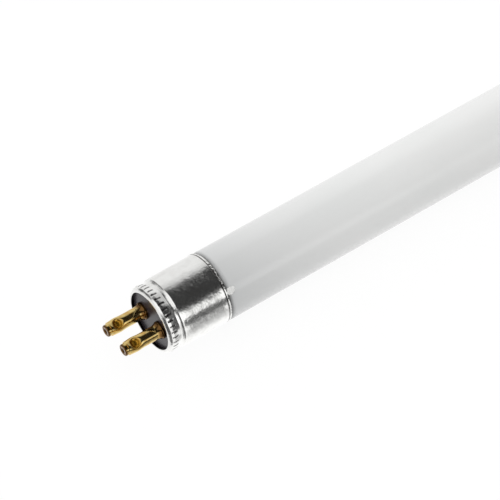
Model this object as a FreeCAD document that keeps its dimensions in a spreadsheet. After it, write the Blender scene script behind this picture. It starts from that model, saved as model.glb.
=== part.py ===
import FreeCAD, Part
import math
import os

import Sketcher

# A straight fluorescent tube, 12 mm across, with a two-pin metal cap on each end.
# The lamp lies along X, its pins side by side along Y, and +Z is up.
# The origin is the middle of the tube on its axis.
# Each cap is drawn from its own rim: its x runs from the rim into the lamp.

# Driving sizes in millimetres, by the piece that they belong to
SIZES = [
    # Whole lamp
    ("rim_distance", 206.8),
    # Glass tube, with a narrower neck and a re-entrant stem in each cap
    ("glass_diameter", 12.0),
    ("glass_wall", 0.8),
    ("neck_step", 0.5),
    ("shoulder_round", 1.0),
    ("shoulder_reach", 0.8),
    ("seal_setback", 4.6),
    ("seal_lip", 1.2),
    ("flare_length", 5.2),
    ("flare_taper", 2.0),
    ("flare_gap", 0.9),
    ("flare_wall", 0.7),
    ("press_step", 0.6),
    ("press_thickness", 2.2),
    ("press_length", 4.5),
    ("exhaust_diameter", 2.4),
    ("exhaust_bore", 1.0),
    ("exhaust_setback", 3.6),
    # Metal cap, rolled from sheet
    ("cap_length", 11.6),
    ("cap_sheet", 0.2),
    ("crown_step", 0.2),
    ("crown_wall", 0.4),
    ("lip_width", 0.8),
    ("lip_outer_round", 0.5),
    ("lip_groove_width", 0.32),
    ("lip_groove_depth", 0.17),
    ("knurl_setback", 0.1),
    ("knurl_length", 0.8),
    ("knurl_depth", 0.12),
    ("knurl_tool_radius", 0.2),
    ("knurl_count", 36),
    ("crown_slope_length", 0.6),
    ("bead_foot_step", 0.17),
    ("bead_width", 0.64),
    ("bead_height", 0.2),
    ("cap_shoulder_round", 0.6),
    ("hem_width", 0.45),
    ("hem_height", 0.1),
    ("retainer_width", 0.4),
    ("retainer_height", 0.2),
    # Insulating disc in the mouth of the cap
    ("disc_recess", 0.5),
    ("disc_thickness", 1.6),
    ("disc_clearance", 0.02),
    # Hollow contact pins, riveted through the disc
    ("pin_spacing", 4.75),
    ("pin_length", 7.1),
    ("pin_diameter", 2.3),
    ("pin_wall", 0.4),
    ("pin_hole_clearance", 0.01),
    ("collar_width", 0.35),
    ("collar_thickness", 0.35),
    ("collar_flare", 0.65),
    ("collar_flare_round", 0.9),
    ("rivet_thickness", 0.3),
    ("crimp_length", 2.9),
    ("crimp_setback", 0.15),
    ("crimp_swell", 0.09),
    ("nose_step", 0.15),
    ("nose_length", 0.65),
    ("nose_round", 0.18),
    ("nose_hole", 0.8),
    ("dimple_setback", 1.15),
    ("dimple_diameter", 1.5),
    ("dimple_floor", 0.8),
    ("dimple_tilt", 22.0),
    # Lead wires, from the glass press into the pins
    ("wire_diameter", 0.6),
    ("wire_clearance", 0.03),
    ("wire_end_setback", 0.25),
    # Cement between the cap and the neck, and the drop squeezed out of it
    ("cement_gap", 0.3),
    ("cement_front_setback", 0.4),
    ("cement_setback", 0.3),
    ("drop_length", 1.4),
    ("drop_width", 1.3),
    ("drop_height", 0.34),
    ("drop_angle", 144.0),
]

DOC = FreeCAD.newDocument("FluorescentTube")
SHEET = DOC.addObject("Spreadsheet::Sheet", "Sizes")
NODES = []

# Places that several pieces share, as expressions of the driving sizes
GLASS_R = "Sizes.glass_diameter / 2"
NECK_R = "(%s - Sizes.neck_step)" % GLASS_R
INNER_NECK_R = "(%s - Sizes.glass_wall)" % NECK_R
FLARE_BACK_R = "(%s - Sizes.flare_gap)" % INNER_NECK_R
FLARE_R = "(%s - Sizes.flare_wall)" % FLARE_BACK_R
EXHAUST_R = "Sizes.exhaust_diameter / 2"
CAP_BORE_R = "(%s + Sizes.cement_gap)" % NECK_R
CAP_R = "(%s + Sizes.cap_sheet)" % CAP_BORE_R
CROWN_R = "(%s - Sizes.crown_step)" % CAP_R
BEAD_FOOT_R = "(%s - Sizes.bead_foot_step)" % CROWN_R
SEAT_R = "(%s - Sizes.crown_wall)" % CROWN_R
DISC_BACK = "(Sizes.disc_recess + Sizes.disc_thickness)"
PRESS_FACE = "(Sizes.seal_setback + Sizes.flare_length)"
PIN_R = "Sizes.pin_diameter / 2"
NOSE_START = "(Sizes.pin_length - Sizes.nose_length)"
CRIMP_END = "(%s - Sizes.crimp_setback)" % NOSE_START
PIN_BORE_R = "(Sizes.pin_diameter / 2 - Sizes.pin_wall)"
WIRE_R = "Sizes.wire_diameter / 2"
HALF_LAMP = "Sizes.rim_distance / 2"


def fill_sheet():
    for row, (alias, value) in enumerate(SIZES, start=1):
        SHEET.set("A%d" % row, alias)
        SHEET.set("B%d" % row, str(value))
        SHEET.setAlias("B%d" % row, alias)
    DOC.recompute()


def value_of(expression):
    return float(SHEET.evalExpression(str(expression)))


def rise_radius(chord, rise):
    """The radius of an arc over a chord, from the chord's length and the arc's rise."""
    return "((%s)^2 / 4 + (%s)^2) / (2 * (%s))" % (chord, rise, rise)


def origin_plane(body, role):
    for feature in body.Origin.OriginFeatures:
        if feature.Role == role:
            return feature
    raise ValueError("no %s in %s" % (role, body.Name))


def bind(thing, path, expression):
    thing.setExpression(path, str(expression))


def plane_sketch(body, name, role, offset=None):
    """A sketch on an origin plane of the body, moved along that plane's normal."""
    sketch = body.newObject("Sketcher::SketchObject", name)
    sketch.AttachmentSupport = [(origin_plane(body, role), "")]
    sketch.MapMode = "FlatFace"
    if offset is not None:
        bind(sketch, "AttachmentOffset.Base.z", offset)
    return sketch


def drive(sketch, kind, where, expression):
    """Add one driving constraint and tie it to its expression."""
    index = sketch.addConstraint(Sketcher.Constraint(kind, *where, value_of(expression)))
    bind(sketch, "Constraints[%d]" % index, expression)


def pin_down(sketch, edge, spot, x, y):
    """Fix a point of an edge by its two coordinates. "0" puts it on an axis."""
    for kind, axis, coordinate in (("DistanceX", -2, x), ("DistanceY", -1, y)):
        if coordinate == "0":
            sketch.addConstraint(Sketcher.Constraint("PointOnObject", edge, spot, axis))
        else:
            drive(sketch, kind, (-1, 1, edge, spot), coordinate)


def arc_between(start, end, radius, turn):
    """The short arc from start to end. turn is +1 to the left, -1 to the right."""
    chord = end - start
    half = chord.Length / 2
    side = FreeCAD.Vector(-chord.y, chord.x, 0).normalize()
    centre = (start + end) / 2 + side * turn * math.sqrt(max(radius ** 2 - half ** 2, 0))
    first, last = (start, end) if turn > 0 else (end, start)
    angles = [math.atan2(p.y - centre.y, p.x - centre.x) for p in (first, last)]
    circle = Part.Circle(centre, FreeCAD.Vector(0, 0, 1), radius)
    return Part.ArcOfCircle(circle, angles[0], angles[1])


def draw_outline(sketch, corners):
    """A closed outline. A corner is (x, y) or (x, y, radius, turn), where the last
    two make an arc of the edge that leaves it. All but turn are expressions."""
    points = [FreeCAD.Vector(value_of(c[0]), value_of(c[1]), 0) for c in corners]
    edges = []
    for i, corner in enumerate(corners):
        start, end = points[i], points[(i + 1) % len(points)]
        if len(corner) == 2:
            edge = sketch.addGeometry(Part.LineSegment(start, end), False)
            edges.append((edge, 1, 2))
        else:
            radius, turn = corner[2:]
            arc = arc_between(start, end, value_of(radius), turn)
            edge = sketch.addGeometry(arc, False)
            edges.append((edge, 1, 2) if turn > 0 else (edge, 2, 1))
    for i, corner in enumerate(corners):
        edge, head, tail = edges[i]
        following, next_head, _ = edges[(i + 1) % len(edges)]
        sketch.addConstraint(Sketcher.Constraint("Coincident", edge, tail, following, next_head))
        pin_down(sketch, edge, head, corner[0], corner[1])
        if len(corner) == 4:
            drive(sketch, "Radius", (edge,), corner[2])


def draw_circle(sketch, x, y, radius):
    centre = FreeCAD.Vector(value_of(x), value_of(y), 0)
    circle = Part.Circle(centre, FreeCAD.Vector(0, 0, 1), value_of(radius))
    edge = sketch.addGeometry(circle, False)
    pin_down(sketch, edge, 3, x, y)
    drive(sketch, "Radius", (edge,), radius)


def turned_body(name, corners):
    """A body turned about X from its half section, given as (x, radius) corners."""
    body = DOC.addObject("PartDesign::Body", name)
    sketch = plane_sketch(body, name + "_section", "XY_Plane")
    draw_outline(sketch, corners)
    turned = body.newObject("PartDesign::Revolution", name + "_turned")
    turned.Profile = sketch
    turned.ReferenceAxis = (sketch, ["H_Axis"])
    turned.Angle = 360
    DOC.recompute()
    return body


def boolean(kind, name, base, tool):
    result = DOC.addObject("Part::" + kind, name)
    result.Base = base
    result.Tool = tool
    result.Refine = True
    return result


def keep(thing, label):
    """Give a finished sub-part its label and put it on the list to write."""
    thing.Label = label
    NODES.append(thing)
    return thing


def place_at_end(thing, end, y="0"):
    """Cap a opens towards -X. Cap b is cap a turned half a turn about Z."""
    if end == "b":
        thing.Placement = FreeCAD.Placement(FreeCAD.Vector(), FreeCAD.Rotation(180, 0, 0))
    bind(thing, "Placement.Base.x", ("-" if end == "a" else "") + HALF_LAMP)
    bind(thing, "Placement.Base.y", y)


def make_glass_tube():
    """One sealed envelope: tube, necks, re-entrant stems with their press, and exhaust tips."""
    from_rim = "%s - " + HALF_LAMP
    shoulder_top = "(Sizes.cap_length + Sizes.shoulder_reach)"
    shoulder_foot = (
        "(%s - sqrt(Sizes.shoulder_round^2 - (Sizes.shoulder_round - Sizes.neck_step)^2))"
        % shoulder_top)
    seal_round = "Sizes.seal_lip / 2"
    seal_top = "(Sizes.seal_setback + %s)" % seal_round
    mouth_r = "(%s - Sizes.seal_lip)" % NECK_R
    flare_foot = "(%s + Sizes.flare_taper)" % seal_top
    press_back = "(%s + Sizes.flare_wall)" % PRESS_FACE
    tip_wall = "((Sizes.exhaust_diameter - Sizes.exhaust_bore) / 2)"
    bore_r = "Sizes.exhaust_bore / 2"
    inner_r = "(%s - Sizes.glass_wall)" % GLASS_R
    section = [
        ("0", GLASS_R),
        (from_rim % shoulder_top, GLASS_R, "Sizes.shoulder_round", 1),
        (from_rim % shoulder_foot, NECK_R),
        (from_rim % seal_top, NECK_R, seal_round, 1),
        (from_rim % "Sizes.seal_setback", "(%s - %s)" % (NECK_R, seal_round), seal_round, 1),
        (from_rim % seal_top, mouth_r),
        (from_rim % flare_foot, FLARE_R),
        (from_rim % PRESS_FACE, FLARE_R),
        (from_rim % PRESS_FACE, EXHAUST_R),
        (from_rim % ("(Sizes.exhaust_setback + %s)" % EXHAUST_R), EXHAUST_R, EXHAUST_R, 1),
        (from_rim % "Sizes.exhaust_setback", "0"),
        (from_rim % ("(Sizes.exhaust_setback + %s)" % tip_wall), "0", bore_r, -1),
        (from_rim % ("(Sizes.exhaust_setback + %s + %s)" % (tip_wall, bore_r)), bore_r),
        (from_rim % press_back, bore_r),
        (from_rim % press_back, FLARE_BACK_R),
        (from_rim % ("(%s + Sizes.flare_wall)" % flare_foot), FLARE_BACK_R),
        (from_rim % ("(%s + Sizes.flare_wall)" % seal_top), INNER_NECK_R),
        (from_rim % shoulder_foot, INNER_NECK_R),
        (from_rim % shoulder_top, inner_r),
        ("0", inner_r),
    ]
    half = turned_body("glass_half", section)
    slab = plane_sketch(half, "press_section", "YZ_Plane", from_rim % press_back)
    half_width = "(%s - Sizes.press_step)" % FLARE_BACK_R
    half_thickness = "Sizes.press_thickness / 2"
    draw_outline(slab, [(sign_y + half_width, sign_z + half_thickness)
                        for sign_y, sign_z in (("", ""), ("-", ""), ("-", "-"), ("", "-"))])
    draw_circle(slab, "0", "0", bore_r)
    press = half.newObject("PartDesign::Pad", "press")
    press.Profile = slab
    bind(press, "Length", "Sizes.press_length")
    DOC.recompute()
    other = DOC.addObject("Part::Mirroring", "glass_other_half")
    other.Source = half
    other.Normal = FreeCAD.Vector(1, 0, 0)
    return keep(boolean("Fuse", "glass_tube_whole", half, other), "glass_tube")


def make_cap_shell(end):
    """A thin rolled shell: lip, groove, knurled crown, bead, plain skirt and rear hem."""
    lip_r = "(%s - Sizes.lip_width)" % CROWN_R
    lip_inner_round = "(Sizes.lip_width - Sizes.lip_outer_round)"
    crest_r = "(%s - Sizes.lip_outer_round)" % CROWN_R
    groove_end = "(Sizes.lip_outer_round + Sizes.lip_groove_width)"
    knurl_start = "(%s + Sizes.knurl_setback)" % groove_end
    knurl_end = "(%s + Sizes.knurl_length)" % knurl_start
    slope_end = "(%s + Sizes.crown_slope_length)" % knurl_end
    bead_end = "(%s + Sizes.bead_width)" % slope_end
    shoulder_rise = "(Sizes.crown_step + Sizes.bead_foot_step)"
    shoulder_run = (
        "sqrt(Sizes.cap_shoulder_round^2 - (Sizes.cap_shoulder_round - %s)^2)" % shoulder_rise)
    shoulder_top = "(%s + %s)" % (bead_end, shoulder_run)
    hem_start = "(Sizes.cap_length - Sizes.hem_width)"
    retainer_start = "(%s + Sizes.disc_clearance)" % DISC_BACK
    retainer_end = "(%s + Sizes.retainer_width)" % retainer_start
    inner_step = "(%s + Sizes.cap_sheet)" % bead_end
    section = [
        ("Sizes.disc_recess", SEAT_R),
        ("Sizes.disc_recess", lip_r),
        (lip_inner_round, lip_r, lip_inner_round, -1),
        ("0", crest_r, "Sizes.lip_outer_round", -1),
        ("Sizes.lip_outer_round", CROWN_R,
         rise_radius("Sizes.lip_groove_width", "Sizes.lip_groove_depth"), 1),
        (groove_end, CROWN_R),
        (knurl_end, CROWN_R),
        (slope_end, BEAD_FOOT_R,
         rise_radius("Sizes.bead_width", "Sizes.bead_height"), -1),
        (bead_end, BEAD_FOOT_R, "Sizes.cap_shoulder_round", -1),
        (shoulder_top, CAP_R),
        (hem_start, CAP_R, rise_radius("Sizes.hem_width", "Sizes.hem_height"), -1),
        ("Sizes.cap_length", CAP_R),
        ("Sizes.cap_length", CAP_BORE_R),
        ("(%s + Sizes.cap_sheet)" % shoulder_top, CAP_BORE_R),
        (inner_step, SEAT_R),
        (retainer_end, SEAT_R, rise_radius("Sizes.retainer_width", "Sizes.retainer_height"), -1),
        (retainer_start, SEAT_R),
    ]
    shell = turned_body("cap_shell_" + end, section)
    plain_volume = shell.Shape.Volume
    tool_centre = "%s - Sizes.knurl_depth + Sizes.knurl_tool_radius" % CROWN_R
    mark = plane_sketch(shell, "notch_section_" + end, "YZ_Plane", knurl_start)
    draw_circle(mark, "0", tool_centre, "Sizes.knurl_tool_radius")
    notch = shell.newObject("PartDesign::Pocket", "notch_" + end)
    notch.Profile = mark
    notch.Reversed = True
    bind(notch, "Length", "Sizes.knurl_length")
    DOC.recompute()
    knurl = shell.newObject("PartDesign::PolarPattern", "knurl_" + end)
    knurl.Originals = [notch]
    knurl.Axis = (origin_plane(shell, "X_Axis"), [""])
    knurl.Angle = 360
    bind(knurl, "Occurrences", "Sizes.knurl_count")
    shell.Tip = knurl
    DOC.recompute()
    if shell.Shape.Volume >= plain_volume:
        raise ValueError("the knurl on cap %s cut nothing" % end)
    place_at_end(shell, end)
    return keep(shell, "cap_shell_" + end)


def make_insulator_disc(end):
    disc = DOC.addObject("PartDesign::Body", "insulator_disc_" + end)
    face = plane_sketch(disc, "disc_face_" + end, "YZ_Plane", "Sizes.disc_recess")
    hole_r = "(%s + Sizes.pin_hole_clearance)" % PIN_R
    draw_circle(face, "0", "0", "(%s - Sizes.disc_clearance)" % SEAT_R)
    for sign in ("", "-"):
        draw_circle(face, sign + "Sizes.pin_spacing / 2", "0", hole_r)
    slab = disc.newObject("PartDesign::Pad", "disc_slab_" + end)
    slab.Profile = face
    bind(slab, "Length", "Sizes.disc_thickness")
    DOC.recompute()
    place_at_end(disc, end)
    return keep(disc, "insulator_disc_" + end)


def dimple_cone(name, sink):
    """The crimping punch: a blunt cone that points at the pin's axis. Its floor lies
    sink above the wire, and it widens outwards as the dimple's flank does."""
    cone = DOC.addObject("Part::Cone", name)
    wall_top = "(%s + Sizes.crimp_swell)" % PIN_R
    floor = "(%s + Sizes.wire_clearance + %s)" % (WIRE_R, sink)
    depth = "(%s - %s - Sizes.wire_clearance - Sizes.pin_wall)" % (wall_top, WIRE_R)
    flank = "((Sizes.dimple_diameter - Sizes.dimple_floor) / 2 / %s)" % depth
    bind(cone, "Radius1", "Sizes.dimple_floor / 2")
    bind(cone, "Height", PIN_R)
    bind(cone, "Radius2", "Sizes.dimple_floor / 2 + %s * %s" % (flank, PIN_R))
    tilt = FreeCAD.Rotation(FreeCAD.Vector(1, 0, 0), 1)
    cone.Placement = FreeCAD.Placement(FreeCAD.Vector(), tilt)
    bind(cone, "Placement.Rotation.Angle", "Sizes.dimple_tilt")
    bind(cone, "Placement.Base.x", "Sizes.disc_recess - (%s - Sizes.dimple_setback)" % CRIMP_END)
    bind(cone, "Placement.Base.y", "-sin(Sizes.dimple_tilt * 1 deg) * %s" % floor)
    bind(cone, "Placement.Base.z", "cos(Sizes.dimple_tilt * 1 deg) * %s" % floor)
    return cone


def make_contact_pin(end, side):
    """A hollow pin: rivet head, shank, collar, barrel, swollen crimp with its dimple, nose."""
    tag = "_%s%s" % (end, side)
    out = "Sizes.disc_recess - %s"
    collar_r = "(%s + Sizes.collar_width)" % PIN_R
    nose_r = "(%s - Sizes.nose_step)" % PIN_R
    rivet_back = "(%s + Sizes.rivet_thickness)" % DISC_BACK
    flare_end = "(Sizes.collar_thickness + Sizes.collar_flare)"
    crimp_start = "(%s - Sizes.crimp_length)" % CRIMP_END
    nose_shoulder = "(Sizes.pin_length - Sizes.nose_round)"
    blank = turned_body("pin_blank" + tag, [
        (rivet_back, "0"),
        (rivet_back, collar_r),
        (DISC_BACK, collar_r),
        (DISC_BACK, PIN_R),
        ("Sizes.disc_recess", PIN_R),
        ("Sizes.disc_recess", collar_r),
        (out % "Sizes.collar_thickness", collar_r, "Sizes.collar_flare_round", -1),
        (out % flare_end, PIN_R),
        (out % crimp_start, PIN_R,
         rise_radius("Sizes.crimp_length", "Sizes.crimp_swell"), 1),
        (out % CRIMP_END, PIN_R),
        (out % NOSE_START, nose_r),
        (out % nose_shoulder, nose_r, "Sizes.nose_round", 1),
        (out % "Sizes.pin_length", "(%s - Sizes.nose_round)" % nose_r),
        (out % "Sizes.pin_length", "0"),
    ])
    bore_end = "(%s - Sizes.pin_wall)" % NOSE_START
    neck_start = "(%s + %s - Sizes.nose_hole / 2)" % (bore_end, PIN_BORE_R)
    bore = turned_body("pin_bore" + tag, [
        (rivet_back, "0"),
        (rivet_back, PIN_BORE_R),
        (out % bore_end, PIN_BORE_R),
        (out % neck_start, "Sizes.nose_hole / 2"),
        (out % "Sizes.pin_length", "Sizes.nose_hole / 2"),
        (out % "Sizes.pin_length", "0"),
    ])
    pressed = boolean("Cut", "pressed_bore" + tag, bore, dimple_cone("pressed_wall" + tag, "0"))
    tube = boolean("Cut", "pin_tube" + tag, blank, pressed)
    punch = dimple_cone("punch" + tag, "Sizes.pin_wall")
    pin = boolean("Cut", "crimped_pin" + tag, tube, punch)
    DOC.recompute()
    place_at_end(pin, end, ("" if side == "1" else "-") + "Sizes.pin_spacing / 2")
    return keep(pin, "contact_pin" + tag)


def make_lead_wire(end, side):
    """A wire from the press, where it stands midway between the exhaust tube and the
    flare, splayed to the pin's axis and on into its nose."""
    tag = "_%s%s" % (end, side)
    wire = DOC.addObject("PartDesign::Body", "lead_wire" + tag)
    spread = "(Sizes.pin_spacing / 2 - (%s + %s) / 2)" % (EXHAUST_R, FLARE_R)
    outward = 1 if (side == "1") == (end == "a") else -1
    inner_y = "%d * (%s)" % (-outward, spread)
    route = plane_sketch(wire, "wire_route" + tag, "XY_Plane")
    corners = [
        (PRESS_FACE, inner_y),
        ("(%s - Sizes.flare_length / 2)" % PRESS_FACE, inner_y),
        (DISC_BACK + " + Sizes.rivet_thickness", "0"),
        ("Sizes.disc_recess - Sizes.pin_length + Sizes.wire_end_setback", "0"),
    ]
    points = [FreeCAD.Vector(value_of(x), value_of(y), 0) for x, y in corners]
    for i in range(len(points) - 1):
        route.addGeometry(Part.LineSegment(points[i], points[i + 1]), False)
        if i:
            route.addConstraint(Sketcher.Constraint("Coincident", i - 1, 2, i, 1))
    for i, (x, y) in enumerate(corners):
        edge, spot = (i, 1) if i < len(corners) - 1 else (i - 1, 2)
        pin_down(route, edge, spot, x, y)
    section = plane_sketch(wire, "wire_section" + tag, "YZ_Plane", PRESS_FACE)
    draw_circle(section, inner_y, "0", WIRE_R)
    DOC.recompute()
    pipe = wire.newObject("PartDesign::AdditivePipe", "wire_pipe" + tag)
    pipe.Profile = section
    pipe.Spine = (route, ["Edge1", "Edge2", "Edge3"])
    pipe.Transition = "Right corner"
    DOC.recompute()
    place_at_end(wire, end, ("" if side == "1" else "-") + "Sizes.pin_spacing / 2")
    return keep(wire, "lead_wire" + tag)


def make_cement_ring(end):
    """The cement that fills the space between the cap's skirt and the glass neck."""
    back = "(Sizes.cap_length - Sizes.cement_setback)"
    front = "(Sizes.seal_setback + Sizes.cement_front_setback)"
    ring = turned_body("cement_ring_" + end, [
        (front, NECK_R), (front, CAP_BORE_R), (back, CAP_BORE_R), (back, NECK_R)])
    place_at_end(ring, end)
    return keep(ring, "cement_ring_" + end)


def make_cement_drop(glass, shell):
    """A clear drop of cement on the glass, against the hem of cap a."""
    drop = DOC.addObject("Part::Ellipsoid", "cement_drop_whole")
    bind(drop, "Radius1", "Sizes.drop_height")
    bind(drop, "Radius2", "Sizes.drop_length / 2")
    bind(drop, "Radius3", "Sizes.drop_width / 2")
    drop.Angle1, drop.Angle2, drop.Angle3 = -90, 90, 360
    turn = FreeCAD.Rotation(FreeCAD.Vector(1, 0, 0), 1)
    drop.Placement = FreeCAD.Placement(FreeCAD.Vector(), turn)
    bind(drop, "Placement.Rotation.Angle", "Sizes.drop_angle - 90")
    along = "Sizes.cap_length - Sizes.cement_setback + Sizes.drop_length / 2 - " + HALF_LAMP
    bind(drop, "Placement.Base.x", along)
    bind(drop, "Placement.Base.y", "cos(Sizes.drop_angle * 1 deg) * %s" % GLASS_R)
    bind(drop, "Placement.Base.z", "sin(Sizes.drop_angle * 1 deg) * %s" % GLASS_R)
    on_glass = boolean("Cut", "cement_drop_on_glass", drop, glass)
    against_hem = boolean("Cut", "cement_drop_seated", on_glass, shell)
    return keep(against_hem, "cement_drop")


def write_parts():
    DOC.recompute()
    for thing in DOC.Objects:
        if "Invalid" in thing.State or "Error" in thing.State:
            raise ValueError("%s failed: %s" % (thing.Name, thing.State))
    os.makedirs("parts", exist_ok=True)
    for thing in NODES:
        shape = thing.Shape
        if shape.isNull() or not shape.isValid() or not shape.Solids:
            raise ValueError("%s has no valid solid" % thing.Label)
        print("%-20s %d solid, %9.3f mm3" % (thing.Label, len(shape.Solids), shape.Volume))
    for thing in NODES:
        thing.Shape.exportStep("parts/%s.step" % thing.Label)


fill_sheet()
glass_tube = make_glass_tube()
shells = {}
for cap_end in "ab":
    shells[cap_end] = make_cap_shell(cap_end)
    make_insulator_disc(cap_end)
    for pin_side in "12":
        make_contact_pin(cap_end, pin_side)
        make_lead_wire(cap_end, pin_side)
    make_cement_ring(cap_end)
make_cement_drop(glass_tube, shells["a"])
write_parts()
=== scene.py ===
import math
from functools import partial

import bpy
from bpy.props import FloatProperty, FloatVectorProperty, IntProperty, PointerProperty
from bpy.types import Operator, Panel, PropertyGroup
from mathutils import Matrix, Vector, noise


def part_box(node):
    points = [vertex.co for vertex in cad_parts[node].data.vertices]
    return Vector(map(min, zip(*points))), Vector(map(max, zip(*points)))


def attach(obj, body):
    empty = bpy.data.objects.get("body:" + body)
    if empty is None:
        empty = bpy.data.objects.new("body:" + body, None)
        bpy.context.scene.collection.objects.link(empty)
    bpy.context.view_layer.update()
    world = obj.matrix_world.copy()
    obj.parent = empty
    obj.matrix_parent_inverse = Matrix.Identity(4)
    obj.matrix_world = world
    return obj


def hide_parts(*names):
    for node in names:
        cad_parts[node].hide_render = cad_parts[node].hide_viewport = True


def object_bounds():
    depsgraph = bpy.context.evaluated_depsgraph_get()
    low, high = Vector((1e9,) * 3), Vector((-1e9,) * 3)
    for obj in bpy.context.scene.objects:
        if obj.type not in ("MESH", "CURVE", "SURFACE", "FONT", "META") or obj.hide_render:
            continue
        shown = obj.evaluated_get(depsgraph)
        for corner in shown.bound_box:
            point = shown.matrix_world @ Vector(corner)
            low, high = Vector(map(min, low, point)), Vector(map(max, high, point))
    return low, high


bl_info = {
    "name": "Slim Fluorescent Tube",
    "version": (1, 0, 0),
    "blender": (4, 5, 0),
    "location": "3D View > Sidebar > Tube Lamp",
    "description": "Models the looks of a slim two-pin fluorescent tube around its packed frame",
    "category": "Mesh",
}

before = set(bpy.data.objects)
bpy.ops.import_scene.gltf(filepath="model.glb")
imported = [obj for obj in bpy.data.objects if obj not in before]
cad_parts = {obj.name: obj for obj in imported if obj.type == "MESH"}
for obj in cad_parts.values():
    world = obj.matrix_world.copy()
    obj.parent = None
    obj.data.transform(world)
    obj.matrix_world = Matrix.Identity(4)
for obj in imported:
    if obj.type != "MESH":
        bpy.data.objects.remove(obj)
CAD_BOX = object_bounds()

MM = 0.001
BODY = "root"

# Places that the frame gives. Cap a opens towards -X, and cap b towards +X.
RIM_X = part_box("cap_shell_a")[0].x
HEM_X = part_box("cap_shell_a")[1].x
DISC_FACE_X, DISC_BACK_X = (corner.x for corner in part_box("insulator_disc_a"))
DISC_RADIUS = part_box("insulator_disc_a")[1].z
PIN_TIP_X, RIVET_X = (corner.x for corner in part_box("contact_pin_a1"))
PIN_Y = sum(corner.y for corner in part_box("contact_pin_a1")) / 2
COLLAR_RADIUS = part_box("contact_pin_a1")[1].z
REST_Z = CAD_BOX[0].z

# How far a quarter circle stands off its chord, for a radius of 1
QUARTER_RISE = 1 - math.sqrt(0.5)
# Points of a mesh that lie nearer than this are merged
MERGE_REACH = 0.002 * MM


def linear(hex_colour):
    """An sRGB colour such as "#D8D8D6" as linear red, green, blue and alpha."""
    values = [int(hex_colour[i:i + 2], 16) / 255 for i in (1, 3, 5)]
    return [v / 12.92 if v <= 0.04045 else ((v + 0.055) / 1.055) ** 2.4 for v in values] + [1.0]


def length(name, description, mm):
    return FloatProperty(
        name=name, description=description, default=mm * MM, subtype="DISTANCE", unit="LENGTH")


def angle(name, description, degrees):
    return FloatProperty(
        name=name, description=description, default=math.radians(degrees),
        subtype="ANGLE", unit="ROTATION")


def colour(name, description, hex_colour):
    return FloatVectorProperty(
        name=name, description=description, default=linear(hex_colour), subtype="COLOR",
        size=4, min=0, max=1)


class GlassSettings(PropertyGroup):
    diameter: length("Tube diameter", "Across the straight glass", 12.0)
    wall: length("Wall", "Thickness of the glass", 0.8)
    neck_step: length("Neck step", "How far the neck in the cap lies below the tube", 0.5)
    shoulder_round: length("Shoulder round", "Radius that turns the tube into its neck", 1.0)
    shoulder_reach: length("Shoulder reach", "From the cap's hem to the straight tube", 0.8)
    seal_setback: length("Seal setback", "From the cap's rim to the glass seal", 4.6)
    seal_lip: length("Seal lip", "Width of the rounded seal", 1.2)
    flare_length: length("Flare length", "From the seal to the press", 5.2)
    flare_taper: length("Flare taper", "Length of the flare's funnel", 2.0)
    flare_gap: length("Flare gap", "Between the flare and the neck", 0.9)
    flare_wall: length("Flare wall", "Thickness of the flare", 0.7)
    press_step: length("Press step", "How far the press lies inside the flare", 0.6)
    press_thickness: length("Press thickness", "Across the flattened press", 2.2)
    press_length: length("Press length", "Along the flattened press", 4.5)
    press_bevel: length("Press bevel", "Edges of the flattened press", 0.4)
    exhaust_diameter: length("Exhaust tube", "Outer diameter of the exhaust tube", 2.4)
    exhaust_bore: length("Exhaust bore", "Bore of the exhaust tube", 1.0)
    exhaust_setback: length("Exhaust setback", "From the cap's rim to the tip", 3.6)
    steps: IntProperty(name="Steps", description="Flats around the tube", default=192, min=24)
    coat: colour("Coat", "White powder coat along the tube", "#EEEEED")
    coat_cloud: colour("Cloudy coat", "Where the coat drained unevenly", "#E8E9E8")
    # Painted shade: the coat is drawn greyer towards the caps, where the light falls off.
    coat_end_shade: colour("Coat at the ends", "Thin powder coat near the caps", "#CECFCF")
    end_fade: length("End fade", "Length over which the coat thins out", 36.0)
    # Painted shade beside the cap's hem, where the glass turns into its neck; the coat also thins
    # on that shoulder.
    coat_hem_shade: colour("Wiped coat", "Where the coat was wiped off beside the cap", "#A6A7A7")
    hem_shade_length: length("Wiped edge", "Length of that stretch", 0.95)


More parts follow.
